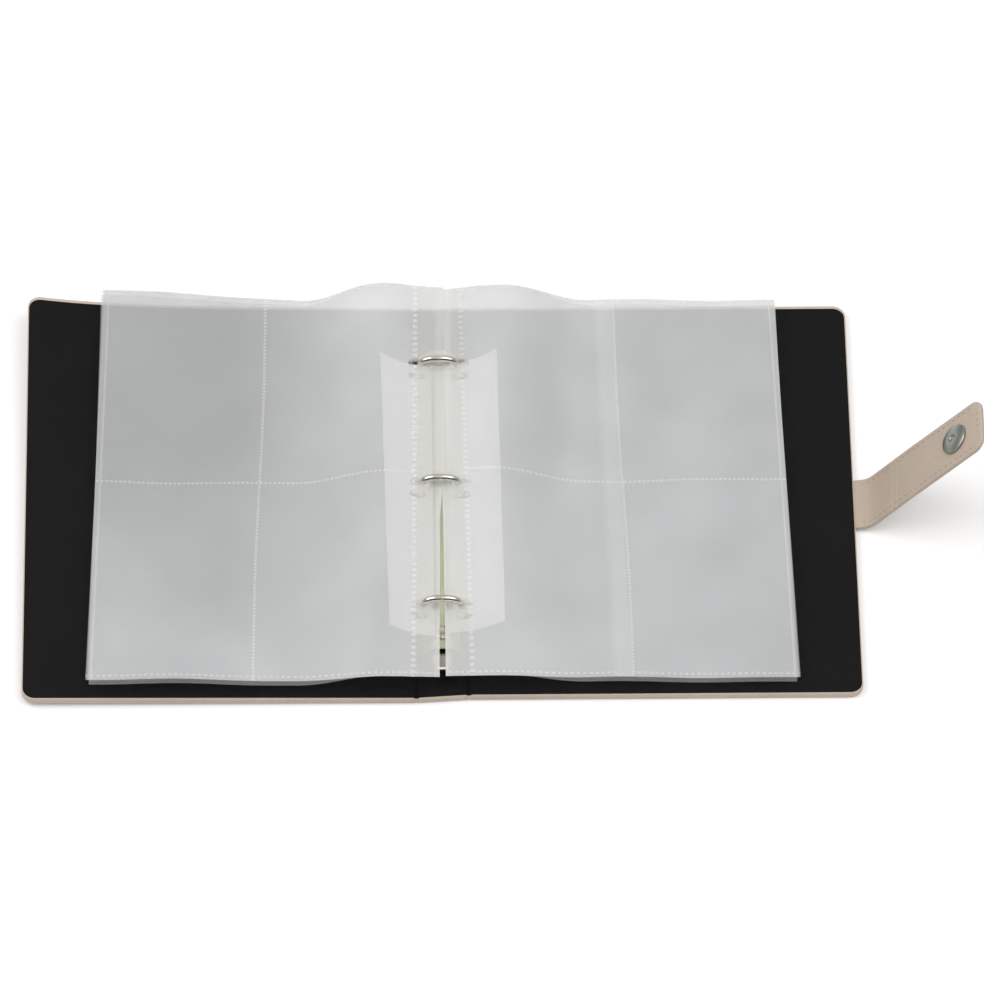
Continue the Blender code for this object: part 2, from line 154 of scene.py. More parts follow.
def grainGroup():
    # pebbled leather grain: raised cells, creases between them, slow mottling
    group = bpy.data.node_groups.new("pebbleGrain", "ShaderNodeTree")
    group.interface.new_socket("Vector", in_out="INPUT", socket_type="NodeSocketVector")
    group.interface.new_socket("Cells", in_out="INPUT", socket_type="NodeSocketFloat")
    group.interface.new_socket("Height", in_out="OUTPUT", socket_type="NodeSocketFloat")
    group.interface.new_socket("Mottle", in_out="OUTPUT", socket_type="NodeSocketFloat")
    start = group.nodes.new("NodeGroupInput")
    end = group.nodes.new("NodeGroupOutput")
    warp = addNode(group, "ShaderNodeTexNoise", Scale=260.0, Detail=2.0)
    group.links.new(start.outputs["Vector"], warp.inputs["Vector"])
    shift = addNode(group, "ShaderNodeVectorMath", operation="MULTIPLY_ADD")
    shift.inputs[1].default_value = (0.0011, 0.0011, 0.0011)
    group.links.new(warp.outputs["Color"], shift.inputs[0])
    group.links.new(start.outputs["Vector"], shift.inputs[2])
    cells = addNode(group, "ShaderNodeTexVoronoi", feature="DISTANCE_TO_EDGE")
    group.links.new(shift.outputs[0], cells.inputs["Vector"])
    group.links.new(start.outputs["Cells"], cells.inputs["Scale"])
    steep = mathNode(group, "MULTIPLY", cells.outputs["Distance"], 3.2)
    raised = mathNode(group, "SMOOTH_MIN", steep, 1.0, 0.4)
    fine = noiseValue(group, start.outputs["Vector"], 2600.0, 2.0)
    height = mathNode(group, "MULTIPLY_ADD", fine, 0.25, raised)
    group.links.new(height, end.inputs["Height"])
    mottle = noiseValue(group, start.outputs["Vector"], 38.0, 5.0, 0.6)
    group.links.new(mottle, end.inputs["Mottle"])
    return group


def rubGroup():
    # fine rubbing and smudges for metal and film
    group = bpy.data.node_groups.new("rubMarks", "ShaderNodeTree")
    group.interface.new_socket("Vector", in_out="INPUT", socket_type="NodeSocketVector")
    group.interface.new_socket("Marks", in_out="OUTPUT", socket_type="NodeSocketFloat")
    group.interface.new_socket("Cloud", in_out="OUTPUT", socket_type="NodeSocketFloat")
    start = group.nodes.new("NodeGroupInput")
    end = group.nodes.new("NodeGroupOutput")
    stretch = group.nodes.new("ShaderNodeMapping")
    stretch.inputs["Scale"].default_value = (1.0, 0.12, 1.0)
    group.links.new(start.outputs["Vector"], stretch.inputs["Vector"])
    group.links.new(noiseValue(group, stretch.outputs[0], 900.0, 4.0, 0.6), end.inputs["Marks"])
    group.links.new(noiseValue(group, start.outputs["Vector"], 60.0, 4.0, 0.5), end.inputs["Cloud"])
    return group


pebbleGrain = grainGroup()
rubMarks = rubGroup()


def placeGroup(tree, group, vector, **values):
    node = tree.nodes.new("ShaderNodeGroup")
    node.node_tree = group
    tree.links.new(vector, node.inputs["Vector"])
    for key, value in values.items():
        node.inputs[key].default_value = value
    return node


def dashLine(tree, across, along, place, width, period, share):
    # a welded line of short dashes: 1 on a dash, 0 off it
    off = mathNode(tree, "ABSOLUTE", mathNode(tree, "SUBTRACT", across, place))
    band = mathNode(tree, "SUBTRACT", 1.0, mathNode(tree, "DIVIDE", off, width), None, True)
    band = mathNode(tree, "MULTIPLY", band, 2.5, None, True)
    if period is None:
        return band
    wave = mathNode(tree, "SINE", mathNode(tree, "MULTIPLY", along, 2 * math.pi / period))
    dash = mathNode(tree, "MULTIPLY_ADD", wave, 1.6, 0.5 + share, True)
    return mathNode(tree, "MULTIPLY", band, dash)


def leatherMaterial(name, light, dark, cells, shadeAndCreases=None):
    mat, tree, shader = newMaterial(name)
    grain = placeGroup(tree, pebbleGrain, objectCoords(tree), Cells=cells)
    # the colour follows the grain height: lighter on the raised cells, darker in the creases between them
    cellTone = mathNode(tree, "MULTIPLY_ADD", grain.outputs["Height"], 0.45, 0.15)
    base = mathNode(tree, "SUBTRACT", cellTone, 0.42)
    tone = mathNode(tree, "MULTIPLY_ADD", grain.outputs["Mottle"], 0.8, base, True)
    colour = mixColour(tree, tone, dark, light)
    height = grain.outputs["Height"]
    if shadeAndCreases:
        # painted shade darkens the strap at its root, where the cover's edge shades it, and the strap is
        # creased where it flexes, by its own map
        run = tree.nodes.new("ShaderNodeSeparateXYZ")
        tree.links.new(addNode(tree, "ShaderNodeUVMap", uv_map="strap").outputs[0], run.inputs[0])
        along = mathNode(tree, "MULTIPLY_ADD", run.outputs["Y"], shadeAndCreases["lean"], run.outputs["X"])
        # painted shade: the colour darkens towards the strap's root, standing in for the shadow of the
        # cover's edge
        rootShade = mathNode(tree, "MULTIPLY_ADD", run.outputs["X"], -1 / shadeAndCreases["root"], 1.6, True)
        paintedRootShade = mathNode(tree, "MULTIPLY", rootShade, shadeAndCreases["rootShade"])
        colour = mixColour(tree, paintedRootShade, colour, (0.3, 0.23, 0.17))
        for place in shadeAndCreases["creases"]:
            line = dashLine(tree, along, along, place, 0.5 * mm, None, 0.0)
            colour = mixColour(tree, mathNode(tree, "MULTIPLY", line, 0.16), colour, (0.8, 0.7, 0.6))
            height = mathNode(tree, "SUBTRACT", height, mathNode(tree, "MULTIPLY", line, 0.6))
    tree.links.new(colour, shader.inputs["Base Color"])
    tree.links.new(spread(tree, grain.outputs["Mottle"], 0.66, 0.46), shader.inputs["Roughness"])
    bumpNormal(tree, shader, height, 0.35, 0.00012)
    return mat


def liningMaterial():
    # black lining paper with a faint fibre tooth
    mat, tree, shader = newMaterial("blackLining")
    coords = objectCoords(tree)
    tooth = noiseValue(tree, coords, 1900.0, 3.0, 0.6)
    cloud = noiseValue(tree, coords, 22.0, 4.0)
    tone = mathNode(tree, "MULTIPLY_ADD", cloud, 0.6, mathNode(tree, "MULTIPLY", tooth, 0.4), True)
    black = mixColour(tree, tone, (0.004, 0.004, 0.004), (0.0085, 0.0085, 0.0085))
    tree.links.new(black, shader.inputs["Base Color"])
    tree.links.new(spread(tree, tooth, 0.9, 0.66), shader.inputs["Roughness"])
    shader.inputs["Specular IOR Level"].default_value = 0.16
    bumpNormal(tree, shader, tooth, 0.3, 0.00006)
    return mat


def metalMaterial(name, light, dark, roughLow, roughHigh):
    mat, tree, shader = newMaterial(name)
    shader.inputs["Metallic"].default_value = 1.0
    rub = placeGroup(tree, rubMarks, objectCoords(tree))
    tree.links.new(mixColour(tree, rub.outputs["Cloud"], dark, light), shader.inputs["Base Color"])
    clouded = mathNode(tree, "MULTIPLY", rub.outputs["Cloud"], 0.4)
    tone = mathNode(tree, "MULTIPLY_ADD", rub.outputs["Marks"], 0.6, clouded)
    tree.links.new(spread(tree, tone, roughLow, roughHigh), shader.inputs["Roughness"])
    bumpNormal(tree, shader, rub.outputs["Marks"], 0.06, 0.00004)
    return mat


filmLook = {
    "tint": (0.716, 0.723, 0.727),
    "deep": 0.87,     # the tint where the film is cloudiest
    "milk": 0.15,     # share of light one face of the film stops
    "shade": 0.3,     # share of that in the shadow it throws
    "innerWeld": 9.7 * mm,
    "innerSlant": 1.25 / 90,
    "middleWeld": 69.0 * mm,
    "crossWeld": 2.6 * mm,
    "edgeWeld": 128.6 * mm,
    "nearWeld": -88.2 * mm,
    "seam": (60.5 * mm, 69.0 * mm),
    # half width, dash length and share of each dashed weld
    "dashes": {
        "inner": (1.0 * mm, 2.6 * mm, 0.0),
        "cross": (0.6 * mm, 1.7 * mm, 0.5),
        "middle": (0.65 * mm, 1.6 * mm, 0.2),
        "edge": (0.5 * mm, None, 0.0),
        "near": (0.55 * mm, 2.2 * mm, 0.2),
    },
    # what each weld adds to the milk
    "welds": {
        "innerLeft": 0.13, "innerRight": 0.085, "middle": 0.1, "cross": 0.1,
        "edge": 0.06, "near": 0.08, "binding": 0.055, "seam": 0.042,
    },
    "lowerWelds": 0.14,
    # share, reach and colour of the painted light that makes the film paler beside the rings, and of the
    # darker film at the far edge
    "nearGutter": (0.2, 35 * mm, 75 * mm, (0.84, 0.842, 0.83)),
    "farStrip": (0.5, 82 * mm, 90 * mm, (0.6, 0.6, 0.565)),
    "inBinding": (0.6, (0.68, 0.68, 0.635)),
    # painted shade on the front pages' far outer pockets: share of the tint, and from where to where
    "paintedShade": (0.748, (35 * mm, 80 * mm), (-75 * mm, 15 * mm)),
    "roughness": (0.26, 0.4),
}


def filmMaterial(name, weldShare, innerShare):
    look = filmLook
    mat, tree, shader = newMaterial(name)
    coords = objectCoords(tree)
    place = tree.nodes.new("ShaderNodeSeparateXYZ")
    tree.links.new(coords, place.inputs[0])
    maps = {}
    for layer in ("sheet", "binding"):
        source = addNode(tree, "ShaderNodeUVMap", uv_map=layer)
        maps[layer] = tree.nodes.new("ShaderNodeSeparateXYZ")
        tree.links.new(source.outputs[0], maps[layer].inputs[0])
    fromGutter, along = maps["sheet"].outputs["X"], maps["sheet"].outputs["Y"]
    wander = mathNode(tree, "SINE", mathNode(tree, "MULTIPLY", along, 41.0))
    drift = mathNode(tree, "MULTIPLY", wander, 0.4 * mm)
    slanted = mathNode(tree, "MULTIPLY_ADD", along, look["innerSlant"], fromGutter)
    inPockets = mathNode(tree, "GREATER_THAN", fromGutter, look["innerWeld"])
    left = mathNode(tree, "LESS_THAN", place.outputs["X"], 0.0)
    strength = {}
    for key, value in look["welds"].items():
        strength[key] = value * (innerShare if key.startswith("inner") else weldShare)
    dashes = look["dashes"]
    inner = dashLine(tree, slanted, along, look["innerWeld"], *dashes["inner"])
    cross = dashLine(tree, along, fromGutter, look["crossWeld"], *dashes["cross"])
    drifted = mathNode(tree, "ADD", fromGutter, drift)
    start, end = look["seam"]
    rising = ramp(tree, fromGutter, start, start + 3 * mm)
    falling = ramp(tree, fromGutter, end, end - 1 * mm)
    seam = mathNode(tree, "MULTIPLY", rising, falling)
    innerMilk = spread(tree, left, strength["innerRight"], strength["innerLeft"])
    milk = mathNode(tree, "MULTIPLY", inner, innerMilk)
    for mask, key in (
            (dashLine(tree, drifted, along, look["middleWeld"], *dashes["middle"]), "middle"),
            (mathNode(tree, "MULTIPLY", cross, inPockets), "cross"),
            (dashLine(tree, fromGutter, along, look["edgeWeld"], *dashes["edge"]), "edge"),
            (dashLine(tree, along, fromGutter, look["nearWeld"], *dashes["near"]), "near"),
            (mathNode(tree, "MULTIPLY", seam, mathNode(tree, "SUBTRACT", 1.0, left)), "seam"),
            (maps["binding"].outputs["X"], "binding")):
        milk = mathNode(tree, "MAXIMUM", milk, mathNode(tree, "MULTIPLY", mask, strength[key]))
    cloud = noiseValue(tree, coords, 34.0, 1.5)
    haze = mathNode(tree, "MULTIPLY_ADD", cloud, 0.05, look["milk"] - 0.025)
    inShadow = tree.nodes.new("ShaderNodeLightPath").outputs["Is Shadow Ray"]
    thin = mathNode(tree, "MULTIPLY_ADD", inShadow, look["shade"] - 1.0, 1.0)
    stopped = mathNode(tree, "ADD", haze, milk)
    tree.links.new(mathNode(tree, "MULTIPLY", stopped, thin), shader.inputs["Alpha"])
    deep = tuple(look["deep"] * c for c in look["tint"])
    body = mixColour(tree, cloud, deep, look["tint"])
    # painted light: the film is paler beside the rings, where its slopes face the lamps
    share, full, gone, paler = look["nearGutter"]
    nearRings = ramp(tree, fromGutter, gone, full)
    body = mixColour(tree, mathNode(tree, "MULTIPLY", nearRings, share), body, paler)
    share, low, high, darker = look["farStrip"]
    atFar = ramp(tree, along, low, high)
    body = mixColour(tree, mathNode(tree, "MULTIPLY", atFar, share), body, darker)
    share, darker = look["inBinding"]
    inBinding = mathNode(tree, "MULTIPLY_ADD", inPockets, -share, share)
    body = mixColour(tree, inBinding, body, darker)
    # painted shade: the front pages' far outer pockets are darkened
    share, outRun, farRun = look["paintedShade"]
    outer = mathNode(tree, "MULTIPLY", ramp(tree, fromGutter, *outRun), ramp(tree, along, *farRun))
    shadedTint = tuple(share * c for c in look["tint"])
    body = mixColour(tree, mathNode(tree, "MULTIPLY", outer, left), body, shadedTint)
    whiter = mathNode(tree, "MULTIPLY", milk, 5.0, None, True)
    tree.links.new(mixColour(tree, whiter, body, (0.96, 0.96, 0.95)), shader.inputs["Base Color"])
    low, high = look["roughness"]
    tree.links.new(spread(tree, cloud, low, high), shader.inputs["Roughness"])
    shader.inputs["IOR"].default_value = 1.49
    return mat


def lifterMaterial():
    # stiff white film, a little see-through
    mat, tree, shader = newMaterial("whiteLifterFilm")
    coords = objectCoords(tree)
    rub = placeGroup(tree, rubMarks, coords)
    white = mixColour(tree, rub.outputs["Cloud"], (0.985, 0.98, 0.955), (1.0, 0.995, 0.97))
    tree.links.new(white, shader.inputs["Base Color"])
    tree.links.new(spread(tree, rub.outputs["Marks"], 0.38, 0.5), shader.inputs["Roughness"])
    tree.links.new(spread(tree, rub.outputs["Cloud"], 0.9, 0.96), shader.inputs["Alpha"])
    bumpNormal(tree, shader, rub.outputs["Marks"], 0.08, 0.00005)
    return mat


def threadMaterial():
    mat, tree, shader = newMaterial("beigeThread")
    twist = addNode(tree, "ShaderNodeTexWave", Scale=900.0, Distortion=1.5, Detail=1.0)
    twist.bands_direction = "DIAGONAL"
    tree.links.new(objectCoords(tree), twist.inputs["Vector"])
    beige = mixColour(tree, twist.outputs["Fac"], (0.33, 0.265, 0.21), (0.46, 0.375, 0.3))
    tree.links.new(beige, shader.inputs["Base Color"])
    tree.links.new(spread(tree, twist.outputs["Fac"], 0.85, 0.65), shader.inputs["Roughness"])
    bumpNormal(tree, shader, twist.outputs["Fac"], 0.4, 0.00008)
    return mat


pebbleCells = 950.0
coverTones = ((0.68, 0.575, 0.475), (0.55, 0.455, 0.37))
strapTones = ((0.61, 0.507, 0.404), (0.5, 0.407, 0.323))
leather = leatherMaterial("beigeLeatherette", *coverTones, pebbleCells)
# reach and strength of the painted shade at the strap's root, the lean, and the places of the creases
strapShadeAndCreases = {"root": 5.5 * mm, "rootShade": 0.2, "lean": -0.1, "creases": (18.6 * mm, 21.4 * mm)}
strapLeather = leatherMaterial("strapLeatherette", *strapTones, pebbleCells, strapShadeAndCreases)
lining = liningMaterial()
nickel = metalMaterial("brightNickel", (0.83, 0.80, 0.72), (0.72, 0.69, 0.61), 0.07, 0.15)
capMetal = metalMaterial("greyCap", (0.43, 0.44, 0.4), (0.35, 0.36, 0.325), 0.24, 0.36)
plateMetal = metalMaterial("dullPlate", (0.96, 0.97, 0.74), (0.84, 0.85, 0.64), 0.3, 0.42)
zinc = metalMaterial("zincSteel", (0.58, 0.58, 0.57), (0.46, 0.46, 0.45), 0.35, 0.5)
films = {
    "top": filmMaterial("frostedFilmTop", 1.0, 1.0),
    "lower": filmMaterial("frostedFilmLower", filmLook["lowerWelds"], 0.0),
}
lifterFilm = lifterMaterial()
thread = threadMaterial()
print("materials made")


# piece helpers

def finishPiece(bm, name, mat, nodes=(), body=None):
    mesh = bpy.data.meshes.new(name)
    bm.to_mesh(mesh)
    bm.free()
    mesh.materials.append(mat)
    piece = bpy.data.objects.new(name, mesh)
    bpy.context.collection.objects.link(piece)
    mesh.shade_smooth()
    mesh.set_sharp_from_angle(angle=math.radians(40))
    if nodes:
        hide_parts(*nodes)
    if body:
        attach(piece, body)
    return piece


def slab(low, high):
    bm = bmesh.new()
    bmesh.ops.create_cube(bm, size=1.0)
    size = [h - l for l, h in zip(low, high)]
    bmesh.ops.scale(bm, vec=size, verts=bm.verts)
    bmesh.ops.translate(bm, vec=[(l + h) / 2 for l, h in zip(low, high)], verts=bm.verts)
    return bm


def bevelEdges(bm, edges, radius, segments):
    bmesh.ops.bevel(bm, geom=edges, offset=radius, offset_type="OFFSET", segments=segments,
                    profile=0.5, affect="EDGES", material=-1)


def edgeRun(edge):
    return (edge.verts[0].co - edge.verts[1].co).normalized()


def roundUprights(bm, pick, radius, segments):
    uprights = [e for e in bm.edges if abs(edgeRun(e).z) > 0.9 and pick(e.verts[0].co)]
    bevelEdges(bm, uprights, radius, segments)


def softenRims(bm, radius, segments, pick=lambda co: True):
    # round the edges where the flat faces meet the walls
    edges = [e for e in bm.edges if len(e.link_faces) == 2 and any(pick(v.co) for v in e.verts)
             and (abs(e.link_faces[0].normal.z) > 0.9) != (abs(e.link_faces[1].normal.z) > 0.9)]
    bevelEdges(bm, edges, radius, segments)


def turnMatrix(x, z, angle):
    pivot = Matrix.Translation((x, 0, z))
    return pivot @ Matrix.Rotation(angle, 4, "Y") @ pivot.inverted()


def turnAbout(bm, x, z, angle):
    bmesh.ops.transform(bm, matrix=turnMatrix(x, z, angle), verts=bm.verts)


def cutAcross(bm, at, normal):
    everything = bm.verts[:] + bm.edges[:] + bm.faces[:]
    bmesh.ops.bisect_plane(bm, geom=everything, plane_co=normal * at, plane_no=normal)


def cutHoles(piece, cutterMesh):
    # boolean the holes out and keep the plain result
    cutter = bpy.data.objects.new(piece.name + "Cutter", cutterMesh)
    bpy.context.collection.objects.link(cutter)
    tool = piece.modifiers.new("holes", "BOOLEAN")
    tool.operation = "DIFFERENCE"
    tool.solver = "EXACT"
    tool.object = cutter
    bpy.context.view_layer.update()
    result = bpy.data.meshes.new_from_object(piece.evaluated_get(bpy.context.evaluated_depsgraph_get()))
    piece.modifiers.clear()
    piece.data = result
    bpy.data.objects.remove(cutter)


def slotCutter(name, inner, outer, halfWidth, side):
    # one upright stadium for each ring
    bm = bmesh.new()
    for row in ringRows.values():
        made = slab((inner, row - halfWidth, -5 * mm), (outer, row + halfWidth, 40 * mm))
        roundUprights(made, lambda co: True, halfWidth * 0.98, 8)
        mesh = bpy.data.meshes.new("slotOutline")
        made.to_mesh(mesh)
        made.free()
        bm.from_mesh(mesh)
        bpy.data.meshes.remove(mesh)
    bmesh.ops.scale(bm, vec=(side, 1, 1), verts=bm.verts)
    bmesh.ops.recalc_face_normals(bm, faces=bm.faces)
    mesh = bpy.data.meshes.new(name)
    bm.to_mesh(mesh)
    bm.free()
    return mesh


# covers and spine

coverLook = {
    "outer": 155.7 * mm,
    "inner": 10.5 * mm,
    "halfHeight": 93 * mm,
    "thickness": 2.85 * mm,
    "cornerRadius": 5.0 * mm,
    "rim": 0.6 * mm,
    "foreInset": 0.45 * mm,
    "farInset": 1.6 * mm,
    "nearInset": 0.5 * mm,
    "liningTop": 3.02 * mm,
    "spineHalf": 8.9 * mm,
    "nearSkew": (-0.5 * mm, 0.8 * mm),
    "farCurl": (5.6 * mm, 5),
    "nearCurl": (-2.3 * mm, 1),
    "curlReach": 146 * mm,
    "curlAlong": 1.4,
    "strips": (8 * mm, 6 * mm),
}


def curlFront(bm):
    # the front cover has warped: its far fore corner up, its near one down
    for vert in bm.verts:
        out = max(-vert.co.x - hingeX, 0.0) / coverLook["curlReach"]
        along = vert.co.y / coverLook["halfHeight"]
        rise, power = coverLook["farCurl" if along > 0 else "nearCurl"]
        vert.co.z += rise * out ** power * abs(along) ** coverLook["curlAlong"]


def skewNear(bm):
    # the near edge climbs from the front cover to the back cover
    low, high = coverLook["nearSkew"]
    for vert in bm.verts:
        across = min(max((vert.co.x + hingeX) / (2 * hingeX), 0.0), 1.0)
        vert.co.y += (low + (high - low) * across) * max(-vert.co.y / coverLook["halfHeight"], 0.0)


def meshAcross(bm, step, axis, low, high):
    # cut the flat faces into strips so that they can bend
    normal = Vector((1, 0, 0)) if axis == 0 else Vector((0, 1, 0))
    at = low + step
    while at < high - 0.3 * step:
        cutAcross(bm, at, normal)
        at += step


def settleCover(bm, side, low, high):
    # the front cover leans on its stud and is warped, the back cover lies flat
    skewNear(bm)
    turnAbout(bm, side * hingeX, hingeZ, coverTilt if side < 0 else 0.0)
    if side < 0:
        half = coverLook["halfHeight"]
        across, along = coverLook["strips"]
        meshAcross(bm, along, 1, -half, half)
        meshAcross(bm, across, 0, low, high)
        curlFront(bm)


def makeCover(sideName, bodyName):
    look = coverLook
    side = sides[sideName]
    half = look["halfHeight"]
    low, high = sorted((side * look["inner"], side * look["outer"]))
    bm = slab((low, -half, 0.0), (high, half, look["thickness"]))
    roundUprights(bm, lambda co: co.x * side > 80 * mm, look["cornerRadius"], 10)
    softenRims(bm, look["rim"], 4)
    settleCover(bm, side, low, high)
    nodes = (bodyName + "_skin", bodyName + "_board")
    finishPiece(bm, bodyName + "Wrap", leather, nodes, bodyName)
    low, high = sorted((side * look["inner"], side * (look["outer"] - look["foreInset"])))
    sunk = look["thickness"] - 0.3 * mm
    bm = slab((low, look["nearInset"] - half, sunk), (high, half - look["farInset"], look["liningTop"]))
    roundUprights(bm, lambda co: co.x * side > 80 * mm, look["cornerRadius"] - 0.5 * mm, 10)
    softenRims(bm, 0.08 * mm, 2)
    settleCover(bm, side, low, high)
    finishPiece(bm, bodyName + "Lining", lining, (bodyName + "_lining",), bodyName)


def makeHinge(sideName, bodyName):
    # the bare wrap and lining that fold between a cover and the spine
    look = coverLook
    side = sides[sideName]
    tilt = coverTilt if side < 0 else 0.0
    half = look["halfHeight"]
    ends = (look["spineHalf"] - 0.15 * mm, look["inner"] + 0.15 * mm)
    liningTrim = look["nearInset"] + 0.1 * mm
    for part, zLow, zHigh, mat, slotName, nearTrim, farTrim in (
            ("Fold", 0.25 * mm, 2.6 * mm, leather, "leatherette", 0.2 * mm, 0.2 * mm),
            ("FoldLining", 2.5 * mm, 2.86 * mm, lining, "black_lining", liningTrim, look["farInset"])):
        bm = slab((ends[0], nearTrim - half, zLow), (ends[1], half - farTrim, zHigh))
        lengthwise = [e for e in bm.edges if abs(edgeRun(e).x) > 0.9]
        bmesh.ops.subdivide_edges(bm, edges=lengthwise, cuts=14, use_grid_fill=True)
        for vert in bm.verts:
            t = (vert.co.x - ends[0]) / (ends[1] - ends[0])
            groove = bump(t) ** 1.5
            if vert.co.z < (zLow + zHigh) / 2 and part == "Fold":
                vert.co.z += 0.55 * mm * groove
            else:
                vert.co.z -= 0.5 * mm * groove
        bmesh.ops.scale(bm, vec=(side, 1, 1), verts=bm.verts)
        bmesh.ops.recalc_face_normals(bm, faces=bm.faces)
        skewNear(bm)
        for vert in bm.verts:
            t = ease((abs(vert.co.x) - ends[0]) / (ends[1] - ends[0]))
            vert.co = turnMatrix(side * hingeX, hingeZ, tilt * t) @ vert.co
        piece = finishPiece(bm, bodyName + part, mat)
        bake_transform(piece)


def makeSpine():
    look = coverLook
    half = look["halfHeight"]
    wide = look["spineHalf"]
    bm = slab((-wide, -half, 0.03 * mm), (wide, half, look["thickness"]))
    softenRims(bm, look["rim"], 4)
    skewNear(bm)
    finishPiece(bm, "spineWrap", leather, ("spine_skin", "spine_board"), "spine")
    sunk = look["thickness"] - 0.3 * mm
    bm = slab((-wide, look["nearInset"] - half, sunk), (wide, half - look["farInset"], look["liningTop"]))
    softenRims(bm, 0.08 * mm, 2)
    skewNear(bm)
    finishPiece(bm, "spineLining", lining, ("spine_lining",), "spine")


for sideName, bodyName in (("left", "front_cover"), ("right", "back_cover")):
    makeCover(sideName, bodyName)
    makeHinge(sideName, bodyName)
makeSpine()
print("covers and spine made")


# rings and their mechanism

ringLook = {
    "halfWidth": 8.2 * mm,
    "halfHeight": 7.4 * mm,
    "centreZ": 12.2 * mm,
    "wire": 1.25 * mm,
    "seam": 0.12 * mm,
    "footX": 4.0 * mm,
    "squareness": 2.8,
    # how much narrower the top is, and between which heights
    "nip": (0.1, 10.5 * mm, 15.5 * mm),
    "turns": 44,
    "facets": 20,
}


def ringPoint(turn):
    # the wire's centre line, flattened at the top
    look = ringLook
    power = 2 / look["squareness"] if turn > 0 else 1.0
    x = look["halfWidth"] * math.cos(turn) ** power
    z = look["centreZ"] + look["halfHeight"] * math.copysign(abs(math.sin(turn)) ** power, turn)
    share, low, high = look["nip"]
    x *= 1 - share * ease((z - low) / (high - low))
    return Vector((x, 0, z))


def makeRingHalf(where, sideName):
    look = ringLook
    side = sides[sideName]
    foot = -math.acos(look["footX"] / look["halfWidth"])
    top = math.acos((look["seam"] / look["halfWidth"]) ** (look["squareness"] / 2))
    path = [ringPoint(foot + (top - foot) * step / look["turns"]) for step in range(look["turns"] + 1)]
    sideways = Vector((0, 1, 0))
    around = [step * 2 * math.pi / look["facets"] for step in range(look["facets"])]
    bm = bmesh.new()
    hoops = []
    for at, place in enumerate(path):
        ahead = (path[min(at + 1, len(path) - 1)] - path[max(at - 1, 0)]).normalized()
        upward = ahead.cross(sideways)
        spots = [place + look["wire"] * (math.cos(t) * upward + math.sin(t) * sideways) for t in around]
        hoops.append([bm.verts.new(spot) for spot in spots])
    for first, second in zip(hoops, hoops[1:]):
        for at in range(look["facets"]):
            bm.faces.new((first[at], first[at - 1], second[at - 1], second[at]))
    bm.faces.new(hoops[0])
    bm.faces.new(hoops[-1])
    bmesh.ops.translate(bm, vec=(0, ringRows[where], 0), verts=bm.verts)
    bmesh.ops.scale(bm, vec=(side, 1, 1), verts=bm.verts)
    bmesh.ops.recalc_face_normals(bm, faces=bm.faces)
    node = "ring_%s_%s" % (where, sideName)
    name = "ring%s%s" % (where.title(), sideName.title())
    finishPiece(bm, name, nickel, (node,), sideName + "_rings")


for where in ringRows:
    for sideName in sides:
        makeRingHalf(where, sideName)


def paintNodes():
    # CAD solids that keep their shape get their finish here
    finishes = {
        "ring_cover_plate": plateMetal, "plate_rivet_far": nickel, "plate_rivet_near": nickel,
        "left_carrier_plate": zinc, "right_carrier_plate": zinc, "opening_lever": nickel,
    }
    for node, mat in finishes.items():
        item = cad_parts[node]
        item = bpy.data.objects[item] if isinstance(item, str) else item
        item.data.materials.clear()
        item.data.materials.append(mat)


paintNodes()
print("rings and mechanism made")


# pocket sheets

